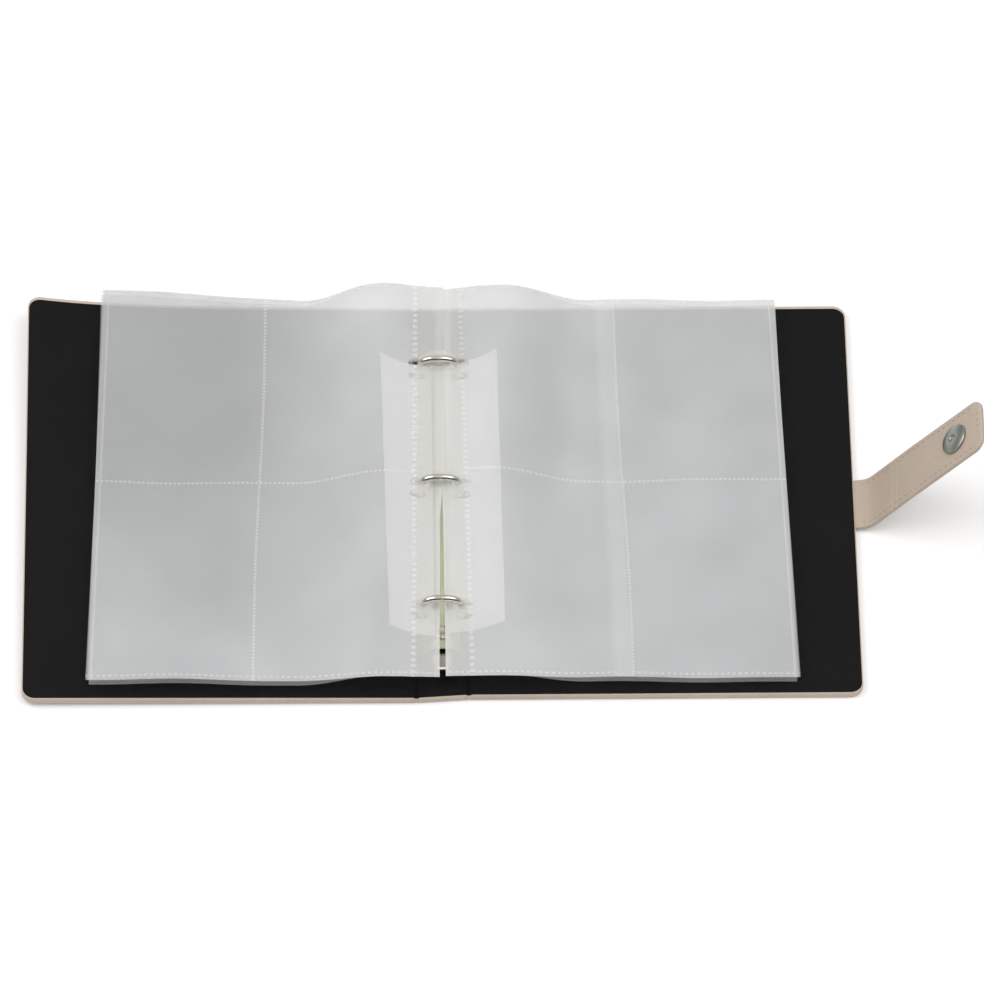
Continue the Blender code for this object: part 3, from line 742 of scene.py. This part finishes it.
sheetLook = {
    "halfHeight": 90.0 * mm,
    "shiftY": {"left": -1.4 * mm, "right": 0.1 * mm},
    "thickness": 0.16 * mm,
    # binding edges, measured at these places down the page
    "bindY": (90 * mm, -4 * mm, -22 * mm, -90 * mm),
    "bindX": {
        "leaf": (-2.2 * mm, -0.8 * mm, 0.5 * mm, 1.2 * mm),
        "left": (-2.2 * mm, -0.8 * mm, 0.4 * mm, 1.1 * mm),
        "right": (2.22 * mm, 0.82 * mm, 0.95 * mm, 1.1 * mm),
    },
    "tuck": 2.6 * mm,
    "bindStrip": (3.4 * mm, 1.3 * mm),
    # outer columns lean: (shift, lean) of each side
    "lean": {"left": (-1.4 * mm, 2.6 * mm), "right": (-0.4 * mm, 2.0 * mm)},
    "humpX": 20 * mm,
    "flatX": 54 * mm,
    "edgeX": 130.5 * mm,
    "humpZ": 19.0 * mm,
    "bindDrop": 2.0 * mm,
    "pitch": 0.65 * mm,
    "flats": [10.4 * mm, 9.75 * mm, 9.1 * mm, 6.7 * mm, 4.1 * mm],
    "turn": (2.61 * mm, 15.37 * mm),
    # inner end, outer end and half width
    "slots": {
        "leaf": (2.6 * mm, 10.0 * mm, 1.5 * mm),
        "top": (4.0 * mm, 10.0 * mm, 1.5 * mm),
        "lower": (3.8 * mm, 11.6 * mm, 1.5 * mm),
    },
    "nearDrop": 3.4 * mm,
    "nearEnd": {"left": 1.8 * mm, "right": 3.3 * mm},
    "nearBind": 1.8 * mm,
    "farBind": {"left": 1.2 * mm, "right": 0.5 * mm},
    "puff": 0.9 * mm,
    "waves": (0.55 * mm, 0.3 * mm),
    "farLift": 1.2 * mm,
    "farReach": {"left": 2.2 * mm, "right": 0.0},
    "farWiden": 6.0 * mm,
    "cornerLift": 7.1 * mm,
    "liftReach": 121 * mm,
    "columns": 84,
    "rows": 72,
    # how far each level flattens as its cover closes, and towards what height
    "flatten": {
        "left": (None, (0.953, 18.8 * mm), (0.91, 18.8 * mm), (0.734, 18.8 * mm), (0.57, 18.1 * mm)),
        "right": ((0.25, 13 * mm),) * 5,
    },
    "leafBend": (1.0 * mm, -9.0 * mm),
    # where each change of height starts, and over what length it runs
    "nearRun": (-35 * mm, 56 * mm),
    "nearEndRun": (-66 * mm, 24 * mm),
    "farRun": (60 * mm, 30 * mm),
    "gutterRun": (22 * mm, 36 * mm),
    "gutterRise": (4 * mm, 14 * mm),
    "looseRun": (25 * mm, 30 * mm),
    "leanRun": (22 * mm, 40 * mm),
    "creases": (0.22 * mm, 2.3 * mm),
}


def runShare(value, run):
    start, length = run
    return ease((value - start) / length)


def nearShare(y):
    # the hump over the rings sinks towards the reader
    start, length = sheetLook["nearRun"]
    return ease((start - y) / length)


def sheetHeight(x, y, level, side):
    look = sheetLook
    name = "left" if side < 0 else "right"
    far = runShare(y, look["farRun"])
    hump = look["humpZ"] - look["pitch"] * level - look["nearDrop"] * nearShare(y)
    endStart, endLength = look["nearEndRun"]
    hump -= look["nearEnd"][name] * ease((endStart - y) / endLength)
    flat = look["flats"][level]
    crest = look["humpX"] + (look["farWiden"] * far if side > 0 else 0.0)
    if x < crest:
        share = (crest - x) / (crest - 1.6 * mm)
        drop = look["bindDrop"] - look["nearBind"] * nearShare(y) - look["farBind"][name] * far
        z = hump - drop * share ** 1.5
    else:
        z = hump + (flat - hump) * ease((x - crest) / (look["flatX"] - look["humpX"]))
    nearGutter = (1 - runShare(x, look["gutterRun"])) * runShare(x, look["gutterRise"])
    z += look["farLift"] * far * nearGutter
    # pockets swell between their welds
    welds = [filmLook["innerWeld"], filmLook["middleWeld"], filmLook["edgeWeld"]]
    rowsOf = [-look["halfHeight"], filmLook["crossWeld"], look["halfHeight"]]
    for a, b in zip(welds, welds[1:]):
        for c, d in zip(rowsOf, rowsOf[1:]):
            if a <= x <= b and c <= y <= d:
                z += look["puff"] * bump((x - a) / (b - a)) ** 0.7 * bump((y - c) / (d - c)) ** 0.7
    if side < 0:
        creased = bump((x - 85 * mm) / (48 * mm)) * bump((-15 * mm - y) / (68 * mm))
        depth, pitch = look["creases"]
        z += depth * creased * math.sin((0.75 * x - 0.65 * y) / pitch)
    # slow waves in the loose film
    slow, quick = look["waves"]
    loose = runShare(x, look["looseRun"])
    z += slow * math.sin(x / (17 * mm) + y / (31 * mm) + side) * loose
    z += quick * math.sin(x / (8 * mm) - y / (23 * mm) + 2 * side) * loose
    if side < 0:
        out = max(x - hingeX, 0.0) / look["liftReach"]
        z += look["cornerLift"] * out ** 1.55 * max(y / look["halfHeight"], 0.0) ** 1.5
    return z


def bindingEdge(kind, y):
    places = sheetLook["bindY"]
    edges = sheetLook["bindX"][kind]
    for at in range(len(places) - 1):
        if y >= places[at + 1] or at == len(places) - 2:
            t = ease((places[at] - y) / (places[at] - places[at + 1]))
            return edges[at] + (edges[at + 1] - edges[at]) * t


def makeSheet(node, sideName, level, body):
    look = sheetLook
    side = sides[sideName]
    tilt = coverTilt if side < 0 else 0.0
    shift, lean = look["lean"][sideName]
    bm = bmesh.new()
    bmesh.ops.create_grid(bm, x_segments=look["columns"], y_segments=look["rows"], size=0.5)
    bmesh.ops.solidify(bm, geom=bm.faces[:], thickness=look["thickness"])
    bmesh.ops.recalc_face_normals(bm, faces=bm.faces)
    sheetMap = bm.loops.layers.uv.new("sheet")
    bindingMap = bm.loops.layers.uv.new("binding")
    for vert in bm.verts:
        u, v = vert.co.x + 0.5, vert.co.y * 2
        y = look["halfHeight"] * v + look["shiftY"][sideName]
        bindX = bindingEdge("leaf" if body == "leaf" else sideName, y)
        strip = look["bindStrip"][0] + (look["bindStrip"][1] - look["bindStrip"][0]) * ease((1 - v) / 1.7)
        x = bindX + (look["edgeX"] - bindX) * (0.7 * u + 0.3 * u * u)
        # lower sheets are pushed back a little, at the reader's edge and at the far one
        lower = sheetHeight(x, y, 0, side) - sheetHeight(x, y, level, side)
        y += min(0.8 * lower, look["tuck"]) * ease((abs(v) - 0.7) / 0.3)
        y += look["farReach"][sideName] * (1 - runShare(x, look["gutterRun"])) * ease((v - 0.3) / 0.7)
        for loop in vert.link_loops:
            loop[sheetMap].uv = (x, look["halfHeight"] * v)
            loop[bindingMap].uv = (1 - ease((x - bindX - 0.6 * strip) / (0.6 * strip)), 0.0)
        leaned = x + runShare(x, look["leanRun"]) * (shift - lean * (1 - 0.12 * level) * v)
        vert.co = (side * leaned, y, vert.co.z + sheetHeight(x, y, level, side))
    if side < 0:
        bmesh.ops.reverse_faces(bm, faces=bm.faces)
    name = "".join(w.title() if i else w for i, w in enumerate(node.split("_"))) + "Film"
    piece = finishPiece(bm, name, films["lower" if level else "top"], (node,))
    kind = "leaf" if body == "leaf" else "lower" if level else "top"
    cutHoles(piece, slotCutter(name + "Slots", *look["slots"][kind], side))
    piece.data.transform(turnMatrix(side * look["turn"][0], look["turn"][1], tilt))
    if body == "leaf":
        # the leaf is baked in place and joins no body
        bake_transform(piece)
    else:
        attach(piece, body)
        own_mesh(piece)


for level in range(5):
    if level == 0:
        makeSheet("left_leaf", "left", level, "leaf")
    else:
        makeSheet("left_sheet_%d" % (5 - level), "left", level, "left_pages")
    makeSheet("right_sheet_%d" % (5 - level), "right", level, "right_pages")
print("pocket sheets made")


# page lifters

lifterLook = {
    "inner": (2.6 * mm, 8.5 * mm),
    "outer": (22 * mm, 15.6 * mm),
    "halfLength": 64 * mm,
    "shiftY": {"left": -3.2 * mm, "right": -1.4 * mm},
    "skew": {"left": -2.4 * mm, "right": 1.2 * mm},
    "slant": 1.6 * mm,
    "thickness": 0.4 * mm,
    "slot": (5.2 * mm, 11.4 * mm, 1.6 * mm),
    "turn": (2.88 * mm, 12.53 * mm),
    "squashTo": 0.5,
    "squashZ": 13.5 * mm,
}


def makeLifter(sideName):
    look = lifterLook
    side = sides[sideName]
    tilt = coverTilt * 68 / 90 if side < 0 else 0.0
    (innerX, innerZ), (outerX, outerZ) = look["inner"], look["outer"]
    bm = bmesh.new()
    bmesh.ops.create_grid(bm, x_segments=18, y_segments=30, size=0.5)
    for vert in bm.verts:
        u, v = vert.co.x + 0.5, vert.co.y * 2
        y = look["halfLength"] * v + look["shiftY"][sideName] - look["slant"] * (1 - u)
        reach = outerX + look["skew"][sideName] * (1 - v) / 2 - innerX
        z = innerZ + (outerZ - innerZ - sheetLook["nearDrop"] * nearShare(y)) * u ** 2.4
        vert.co = (side * (innerX + reach * u), y, z)
    bmesh.ops.recalc_face_normals(bm, faces=bm.faces)
    bmesh.ops.solidify(bm, geom=bm.faces[:], thickness=look["thickness"])
    bmesh.ops.recalc_face_normals(bm, faces=bm.faces)
    piece = finishPiece(bm, sideName + "LifterFilm", lifterFilm, (sideName + "_page_lifter",))
    cutHoles(piece, slotCutter(sideName + "LifterSlots", *look["slot"], side))
    piece.data.transform(turnMatrix(side * look["turn"][0], look["turn"][1], tilt))
    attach(piece, sideName + "_lifter")
    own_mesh(piece)


for sideName in sides:
    makeLifter(sideName)
print("page lifters made")


# strap with its snap

strapLook = {
    "middleY": -2.9 * mm,
    "width": 22.8 * mm,
    "thickness": 1.6 * mm,
    "bend": (176.77 * mm, 21.63 * mm),
    "baseLength": 29.3 * mm,
    "tabLength": 38.8 * mm,
    "rootAngle": math.radians(5),
    "rootCurve": 9.0 * mm,
    "bendRun": 4 * mm,
    "baseAngle": math.radians(51.5),
    "tabAngle": math.radians(50.3),
    "tipRadius": 5.0 * mm,
    "snapFromBend": 24.3 * mm,
    "stitchInset": 2.2 * mm,
    "stitchLength": 1.9 * mm,
    "stitchGap": 0.9 * mm,
    "stitchWidth": 0.34 * mm,
}


def strapAngle(s):
    # level where it leaves the cover, then a short curve up
    look = strapLook
    rising = look["rootAngle"] + (look["baseAngle"] - look["rootAngle"]) * ease(s / look["rootCurve"])
    onTab = ease((s - look["baseLength"] + look["bendRun"]) / look["bendRun"])
    return rising + (look["tabAngle"] - look["baseAngle"]) * onTab


def strapPlace(s, y, h):
    # a point s along the strap from its root, h above its middle surface
    look = strapLook
    x, z = look["bend"]
    steps = 60
    pace = (s - look["baseLength"]) / steps
    for step in range(steps):
        angle = strapAngle(look["baseLength"] + pace * (step + 0.5))
        x += pace * math.cos(angle)
        z += pace * math.sin(angle)
    angle = strapAngle(s)
    return Vector((x - h * math.sin(angle), look["middleY"] + y, z + h * math.cos(angle)))


def strapPiece(name, start, end, nodes, tip):
    look = strapLook
    half = look["width"] / 2
    thick = look["thickness"] / 2
    bm = slab((start, -half, -thick), (end, half, thick))
    if tip:
        roundUprights(bm, lambda co: co.x > (start + end) / 2, look["tipRadius"], 8)
    joined = start if tip else end
    softenRims(bm, 0.45 * mm, 3, lambda co: abs(co.x - joined) > 0.01 * mm)
    step = 1.6 * mm
    at = start + step
    while at < end - 0.4 * mm:
        cutAcross(bm, at, Vector((1, 0, 0)))
        at += step
    bmesh.ops.triangulate(bm, faces=[f for f in bm.faces if len(f.verts) > 4])
    strapMap = bm.loops.layers.uv.new("strap")
    for vert in bm.verts:
        for loop in vert.link_loops:
            loop[strapMap].uv = vert.co.xy
        vert.co = strapPlace(vert.co.x, vert.co.y, vert.co.z)
    bmesh.ops.recalc_face_normals(bm, faces=bm.faces)
    return finishPiece(bm, name, strapLeather, nodes)


def addStitch(bm, s, y, along, h):
    # one short capsule of thread lying on the strap
    look = strapLook
    made = bmesh.ops.create_icosphere(bm, subdivisions=1, radius=0.5)
    long, wide = look["stitchLength"], look["stitchWidth"]
    size = (long, wide, wide) if along else (wide, long, wide)
    for vert in made["verts"]:
        p = Vector((vert.co.x * size[0], vert.co.y * size[1], vert.co.z * size[2]))
        vert.co = strapPlace(s + p.x, y + p.y, h + p.z)


def stitchPiece(name, start, end, tip):
    look = strapLook
    edge = look["width"] / 2 - look["stitchInset"]
    thick = look["thickness"] / 2
    pace = look["stitchLength"] + look["stitchGap"]
    bm = bmesh.new()
    last = end - look["stitchInset"] - (2.2 * mm if tip else -look["stitchInset"])
    for h in (thick, -thick):
        s = start + pace * 0.6
        while s < last:
            for y in (edge, -edge):
                addStitch(bm, s, y, True, h)
            s += pace
        if tip:
            y = -edge + 2.8 * mm
            while y < edge - 2.0 * mm:
                addStitch(bm, end - look["stitchInset"], y, False, h)
                y += pace
    bmesh.ops.recalc_face_normals(bm, faces=bm.faces)
    return finishPiece(bm, name, thread)


def makeStrap():
    look = strapLook
    middle = look["baseLength"] * 0.62
    end = look["baseLength"] + look["tabLength"]
    base = strapPiece("strapBase", -1.1 * mm, middle, ("strap_base_outer", "strap_base_inner"), False)
    tab = strapPiece("strapTab", middle, end, ("strap_tab_outer", "strap_tab_inner"), True)
    baseStitches = stitchPiece("strapBaseStitches", 1.0 * mm, middle, False)
    tabStitches = stitchPiece("strapTabStitches", middle, end, True)
    for piece in (base, baseStitches):
        strapPlace(-0.6 * mm, 0, 0)
        strapPlace(4.5 * mm, 0, 0)
        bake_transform(piece)
    for piece in (tab, tabStitches):
        a = strapPlace(look["baseLength"] - look["bendRun"], 0, 0)
        b = strapPlace(look["baseLength"] + look["bendRun"], 0, 0)
        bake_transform(piece)


makeStrap()

snapLook = {
    "radius": 6.0 * mm,
    "height": 1.45 * mm,
    "hole": 1.25 * mm,
    "recess": 0.4 * mm,
    "studAt": 123 * mm,
    "studRadius": 5.8 * mm,
    "studBase": 0.75 * mm,
    "nub": (0.95 * mm, 0.36 * mm),
}


def turnedPiece(name, profile, place, mat, nodes, body):
    # spin a profile of (radius, height) about its own axis
    bm = bmesh.new()
    verts = [bm.verts.new((r, 0, z)) for r, z in profile]
    edges = [bm.edges.new(pair) for pair in zip(verts, verts[1:])]
    bmesh.ops.spin(bm, geom=verts + edges, cent=(0, 0, 0), axis=(0, 0, 1),
                   angle=math.radians(360), steps=48, use_merge=True)
    bmesh.ops.remove_doubles(bm, verts=bm.verts, dist=1e-7)
    bmesh.ops.recalc_face_normals(bm, faces=bm.faces)
    bmesh.ops.transform(bm, matrix=place, verts=bm.verts)
    finishPiece(bm, name, mat, nodes, body)


def makeSocket():
    look = snapLook
    x, z = strapLook["bend"]
    bend = Matrix.Translation((x, strapLook["middleY"], z))
    tabFrame = bend @ Matrix.Rotation(-strapLook["tabAngle"], 4, "Y")
    seat = tabFrame @ Matrix.Translation((strapLook["snapFromBend"], 0, 0.9 * mm))
    r, h, hole = look["radius"], look["height"], look["hole"]
    floor = h - look["recess"]
    profile = [
        (0.0, floor), (hole - 0.25 * mm, floor), (hole - 0.06 * mm, floor + 0.05 * mm),
        (hole, floor + 0.12 * mm), (hole + 0.02 * mm, h - 0.18 * mm),
        (hole + 0.14 * mm, h - 0.06 * mm), (hole + 0.4 * mm, h),
        (hole + 1.5 * mm, h - 0.03 * mm), (r - 1.9 * mm, h - 0.16 * mm), (r - 1.2 * mm, h - 0.3 * mm),
        (r - 0.75 * mm, h - 0.42 * mm), (r - 0.3 * mm, h - 0.5 * mm), (r - 0.08 * mm, h - 0.62 * mm),
        (r, h - 0.85 * mm), (r, 0.25 * mm), (r - 0.15 * mm, 0.0), (0.0, 0.0),
    ]
    nodes = ("snap_socket", "snap_magnet")
    turnedPiece("snapSocketCup", profile, seat, capMetal, nodes, "strap_tab")


def makeStud():
    # on the front cover's outer face, nub down
    look = snapLook
    r, base = look["studRadius"], look["studBase"]
    nub, rise = look["nub"]
    low = base + rise
    profile = [
        (0.0, 0.0), (r - 0.2 * mm, 0.0), (r, -0.2 * mm), (r, 0.45 * mm - base),
        (r - 0.15 * mm, 0.15 * mm - base), (r - 0.5 * mm, -base),
        (nub + 0.3 * mm, -base), (nub + 0.05 * mm, -base - 0.06 * mm),
        (nub, -base - 0.15 * mm), (nub, 0.22 * mm - low), (nub - 0.1 * mm, 0.08 * mm - low),
        (nub - 0.35 * mm, -low), (0.0, -low),
    ]
    lean = turnMatrix(-hingeX, hingeZ, coverTilt)
    seat = lean @ Matrix.Translation((-hingeX - look["studAt"], strapLook["middleY"], 0))
    turnedPiece("snapStudCap", profile, seat, nickel, ("snap_stud",), "front_cover")


makeStud()
makeSocket()
print("strap and snap made")


# stage, light and camera

def makeStage():
    bm = bmesh.new()
    bmesh.ops.create_grid(bm, x_segments=1, y_segments=1, size=4.0)
    bmesh.ops.translate(bm, vec=(0, 0, cadBox[0][2] - 0.00002), verts=bm.verts)
    mesh = bpy.data.meshes.new("floor")
    bm.to_mesh(mesh)
    bm.free()
    floor = bpy.data.objects.new("floor", mesh)
    bpy.context.collection.objects.link(floor)
    mat, tree, shader = newMaterial("paleFloor")
    shader.inputs["Base Color"].default_value = (0.86, 0.86, 0.86, 1)
    shader.inputs["Roughness"].default_value = 0.9
    shader.inputs["Specular IOR Level"].default_value = 0.1
    path = tree.nodes.new("ShaderNodeLightPath")
    seen = mathNode(tree, "MAXIMUM", path.outputs["Is Camera Ray"], path.outputs["Is Glossy Ray"])
    seen = mathNode(tree, "MAXIMUM", seen, path.outputs["Is Transmission Ray"])
    shader.inputs["Emission Color"].default_value = (1, 1, 1, 1)
    tree.links.new(mathNode(tree, "MULTIPLY", seen, 0.17), shader.inputs["Emission Strength"])
    mesh.materials.append(mat)


lightLook = {"zenith": 0.62, "horizon": 0.22, "key": 9.5, "fill": 9.0}


def addLamp(name, place, target, size, power):
    lamp = bpy.data.lights.new(name, "AREA")
    lamp.shape = "RECTANGLE"
    lamp.size, lamp.size_y = size
    lamp.energy = power
    item = bpy.data.objects.new(name, lamp)
    bpy.context.collection.objects.link(item)
    item.location = place
    item.rotation_euler = (Vector(target) - Vector(place)).to_track_quat("-Z", "Y").to_euler()


def makeLight():
    scene = bpy.context.scene
    world = bpy.data.worlds.new("studio")
    scene.world = world
    world.use_nodes = True
    tree = world.node_tree
    back = tree.nodes["Background"]
    back.inputs["Color"].default_value = (1, 1, 1, 1)
    # dimmer towards the horizon, so that metal has something dark to reflect
    gaze = tree.nodes.new("ShaderNodeSeparateXYZ")
    tree.links.new(tree.nodes.new("ShaderNodeTexCoord").outputs["Generated"], gaze.inputs[0])
    height = mathNode(tree, "MULTIPLY_ADD", gaze.outputs["Z"], 1.6, -0.1, True)
    sky = spread(tree, height, lightLook["horizon"], lightLook["zenith"])
    reader = mathNode(tree, "MULTIPLY_ADD", gaze.outputs["Y"], -2.2, -0.5, True)
    under = mathNode(tree, "MULTIPLY_ADD", gaze.outputs["Z"], -4.0, 3.4, True)
    glossy = tree.nodes.new("ShaderNodeLightPath").outputs["Is Glossy Ray"]
    low = mathNode(tree, "MULTIPLY", reader, under)
    dark = mathNode(tree, "MULTIPLY", low, mathNode(tree, "MULTIPLY", glossy, 0.92))
    left = mathNode(tree, "SUBTRACT", 1.0, dark)
    tree.links.new(mathNode(tree, "MULTIPLY", sky, left), back.inputs["Strength"])
    addLamp("keyLamp", (-0.95, 0.1, 1.25), (0, 0, 0), (1.2, 1.2), lightLook["key"])
    addLamp("fillLamp", (0.7, -0.2, 1.5), (0, 0, 0), (1.2, 1.2), lightLook["fill"])
    scene.view_settings.view_transform = "Standard"
    scene.cycles.transparent_max_bounces = 40


cameraLook = {
    "target": (0.01962, 0.00339, 0.003),
    "distance": 3.532,
    "elevation": math.radians(51.8),
    "yaw": math.radians(-1.556),
    "roll": math.radians(0.86),
    "lens": 343.9,
}


def makeCamera():
    look = cameraLook
    data = bpy.data.cameras.new("camera")
    data.lens = look["lens"]
    data.sensor_width = 36
    data.clip_end = 20
    item = bpy.data.objects.new("camera", data)
    bpy.context.collection.objects.link(item)
    rise, yaw = look["elevation"], look["yaw"]
    aim = Vector(look["target"])
    away = Vector((math.sin(yaw) * math.cos(rise), -math.cos(yaw) * math.cos(rise), math.sin(rise)))
    item.location = aim + away * look["distance"]
    turn = (-away).to_track_quat("-Z", "Y").to_matrix() @ Matrix.Rotation(look["roll"], 3, "Z")
    item.rotation_euler = turn.to_euler()
    bpy.context.scene.camera = item


makeStage()
makeLight()
makeCamera()
print("stage, light and camera made")
